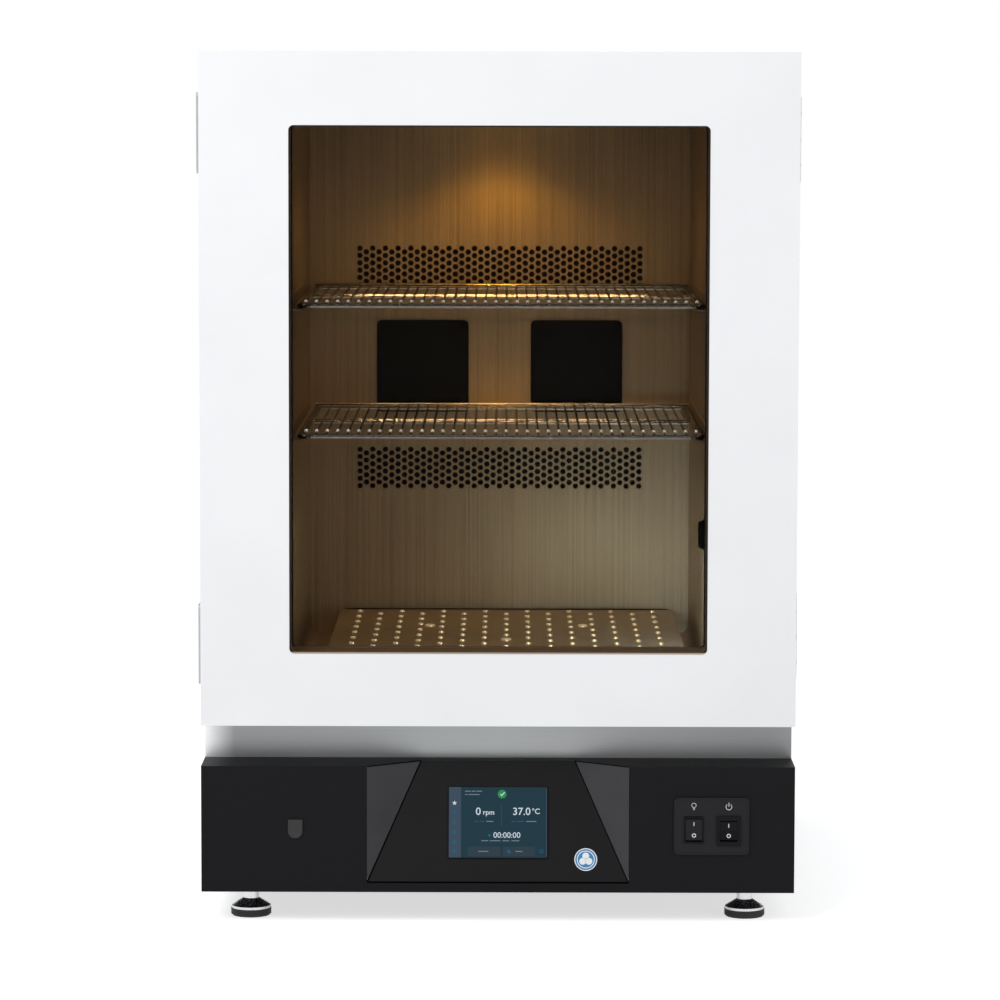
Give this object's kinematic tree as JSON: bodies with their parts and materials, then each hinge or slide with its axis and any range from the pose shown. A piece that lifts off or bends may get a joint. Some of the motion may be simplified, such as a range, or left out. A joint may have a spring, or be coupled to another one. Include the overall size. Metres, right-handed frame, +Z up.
{
  "type": "stackable incubator shaker",
  "caption": "Insulated incubator cabinet with a glazed door, wire shelves and an orbiting platform, on a dark base with a sloped touch console and levelling feet.",
  "frame": {"origin": "on the floor under the middle of the cabinet", "axes": "+Z up, +X to the right seen from the door, +Y to the rear; the door faces -Y"},
  "size_m": [0.708, 0.8102, 1.027],
  "materials": {
    "black_steel": "matte",
    "white_steel": "satin",
    "stainless": "satin",
    "foam": "matte",
    "screen": "gloss",
    "black_plastic": "satin",
    "black_rubber": "matte",
    "fan_plastic": "satin",
    "heater_tube": "matte",
    "lamp": "satin",
    "zinc": "satin",
    "steel_parts": "satin",
    "cast_alloy": "matte",
    "platform_alloy": "satin",
    "motor_iron": "matte",
    "board": "satin",
    "door_moulding": "satin",
    "tinted_glass": "gloss",
    "clear_glass": "gloss",
    "spacer": "satin"
  },
  "bodies": {
    "cabinet": {"base_tray": "black_steel", "base_housing": "black_steel", "base_front_panel": "black_steel", "console_plate": "black_steel", "side_panels": "white_steel", "roof_panel": "white_steel", "rear_cover": "white_steel", "front_frame": "stainless", "chamber_liner": "stainless", "plenum_panel": "stainless", "shelf_rails": "stainless", "port_sleeve": "stainless", "temperature_probe": "stainless", "foam_insulation": "foam", "touch_screen": "screen", "switch_plate": "black_plastic", "switch_housings": "black_plastic", "power_inlet": "black_plastic", "port_cover": "black_rubber", "drive_belt": "black_rubber", "fan_guards": "fan_plastic", "fan_housings": "fan_plastic", "heater_coil": "heater_tube", "chamber_lamp": "lamp", "cabinet_screws": "steel_parts", "cabinet_hinges": "steel_parts", "drive_bearings": "steel_parts", "drive_frame": "cast_alloy", "power_supply": "cast_alloy", "drive_motor": "motor_iron", "control_board": "board"},
    "door": {"door_skin": "white_steel", "door_inner_panel": "door_moulding", "outer_glass": "tinted_glass", "inner_glass": "clear_glass", "glass_spacer": "spacer", "door_seals": "black_rubber", "door_hinge_leaves": "steel_parts", "hinge_screws": "steel_parts", "hinge_blank_plates": "steel_parts"},
    "drive": {"drive_shaft": "steel_parts", "drive_pulley": "cast_alloy"},
    "carriage": {"carriage": "cast_alloy", "carriage_bearings": "steel_parts", "platform": "platform_alloy", "platform_screws": "steel_parts"},
    "idler_left": {"idler_left": "steel_parts"},
    "idler_right": {"idler_right": "steel_parts"},
    "motor_rotor": {"motor_pulley": "cast_alloy"},
    "fan_left": {"fan_rotor_left": "fan_plastic"},
    "fan_right": {"fan_rotor_right": "fan_plastic"},
    "shelf_lower": {"shelf_lower": "stainless"},
    "shelf_upper": {"shelf_upper": "stainless"},
    "stopper": {"port_stopper": "black_rubber"},
    "light_switch": {"light_rocker": "black_plastic"},
    "power_switch": {"power_rocker": "black_plastic"},
    "foot_fl": {"foot_front_left": "zinc"},
    "foot_fr": {"foot_front_right": "zinc"},
    "foot_rl": {"foot_rear_left": "zinc"},
    "foot_rr": {"foot_rear_right": "zinc"}
  },
  "joints": [
    {"name": "door_swing", "type": "hinge", "parent": "cabinet", "child": "door", "pos_m": [0.3515, -0.334, 0.632], "axis": [0, 0, 1], "range_deg": [0, 120]},
    {"name": "drive_spin", "type": "hinge", "parent": "cabinet", "child": "drive", "pos_m": [0, 0.0744, 0.2], "axis": [0, 0, 1], "continuous": true},
    {"name": "platform_orbit", "type": "hinge", "parent": "drive", "child": "carriage", "pos_m": [0.0095, 0.0744, 0.288], "axis": [0, 0, 1], "continuous": true},
    {"name": "idler_left_spin", "type": "hinge", "parent": "cabinet", "child": "idler_left", "pos_m": [-0.1, -0.0756, 0.2], "axis": [0, 0, 1], "continuous": true},
    {"name": "idler_right_spin", "type": "hinge", "parent": "cabinet", "child": "idler_right", "pos_m": [0.1, -0.0756, 0.2], "axis": [0, 0, 1], "continuous": true},
    {"name": "motor_spin", "type": "hinge", "parent": "cabinet", "child": "motor_rotor", "pos_m": [0, 0.2744, 0.147], "axis": [0, 0, 1], "continuous": true},
    {"name": "fan_left_spin", "type": "hinge", "parent": "cabinet", "child": "fan_left", "pos_m": [-0.1005, 0.224, 0.623], "axis": [0, 1, 0], "continuous": true},
    {"name": "fan_right_spin", "type": "hinge", "parent": "cabinet", "child": "fan_right", "pos_m": [0.1005, 0.224, 0.623], "axis": [0, 1, 0], "continuous": true},
    {"name": "shelf_lower_slide", "type": "slide", "parent": "cabinet", "child": "shelf_lower", "axis": [0, -1, 0], "range_m": [0, 0.024]},
    {"name": "shelf_upper_slide", "type": "slide", "parent": "cabinet", "child": "shelf_upper", "axis": [0, -1, 0], "range_m": [0, 0.024]},
    {"name": "stopper_pull", "type": "slide", "parent": "cabinet", "child": "stopper", "axis": [-1, 0, 0], "range_m": [0, 0.06]},
    {"name": "light_switch_rock", "type": "hinge", "parent": "cabinet", "child": "light_switch", "pos_m": [0.231, -0.4, 0.1147], "axis": [1, 0, 0], "range_deg": [0, 16]},
    {"name": "power_switch_rock", "type": "hinge", "parent": "cabinet", "child": "power_switch", "pos_m": [0.272, -0.4, 0.1135], "axis": [1, 0, 0], "range_deg": [0, 16]},
    {"name": "foot_fl_level", "type": "slide", "parent": "cabinet", "child": "foot_fl", "axis": [0, 0, -1], "range_m": [0, 0.015]},
    {"name": "foot_fr_level", "type": "slide", "parent": "cabinet", "child": "foot_fr", "axis": [0, 0, -1], "range_m": [0, 0.015]},
    {"name": "foot_rl_level", "type": "slide", "parent": "cabinet", "child": "foot_rl", "axis": [0, 0, -1], "range_m": [0, 0.015]},
    {"name": "foot_rr_level", "type": "slide", "parent": "cabinet", "child": "foot_rr", "axis": [0, 0, -1], "range_m": [0, 0.015]}
  ],
  "couplings": [
    {"joint": "platform_orbit", "follows": "drive_spin", "ratio": -1},
    {"joint": "idler_left_spin", "follows": "drive_spin", "ratio": 1},
    {"joint": "idler_right_spin", "follows": "drive_spin", "ratio": 1},
    {"joint": "motor_spin", "follows": "drive_spin", "ratio": 3}
  ]
}
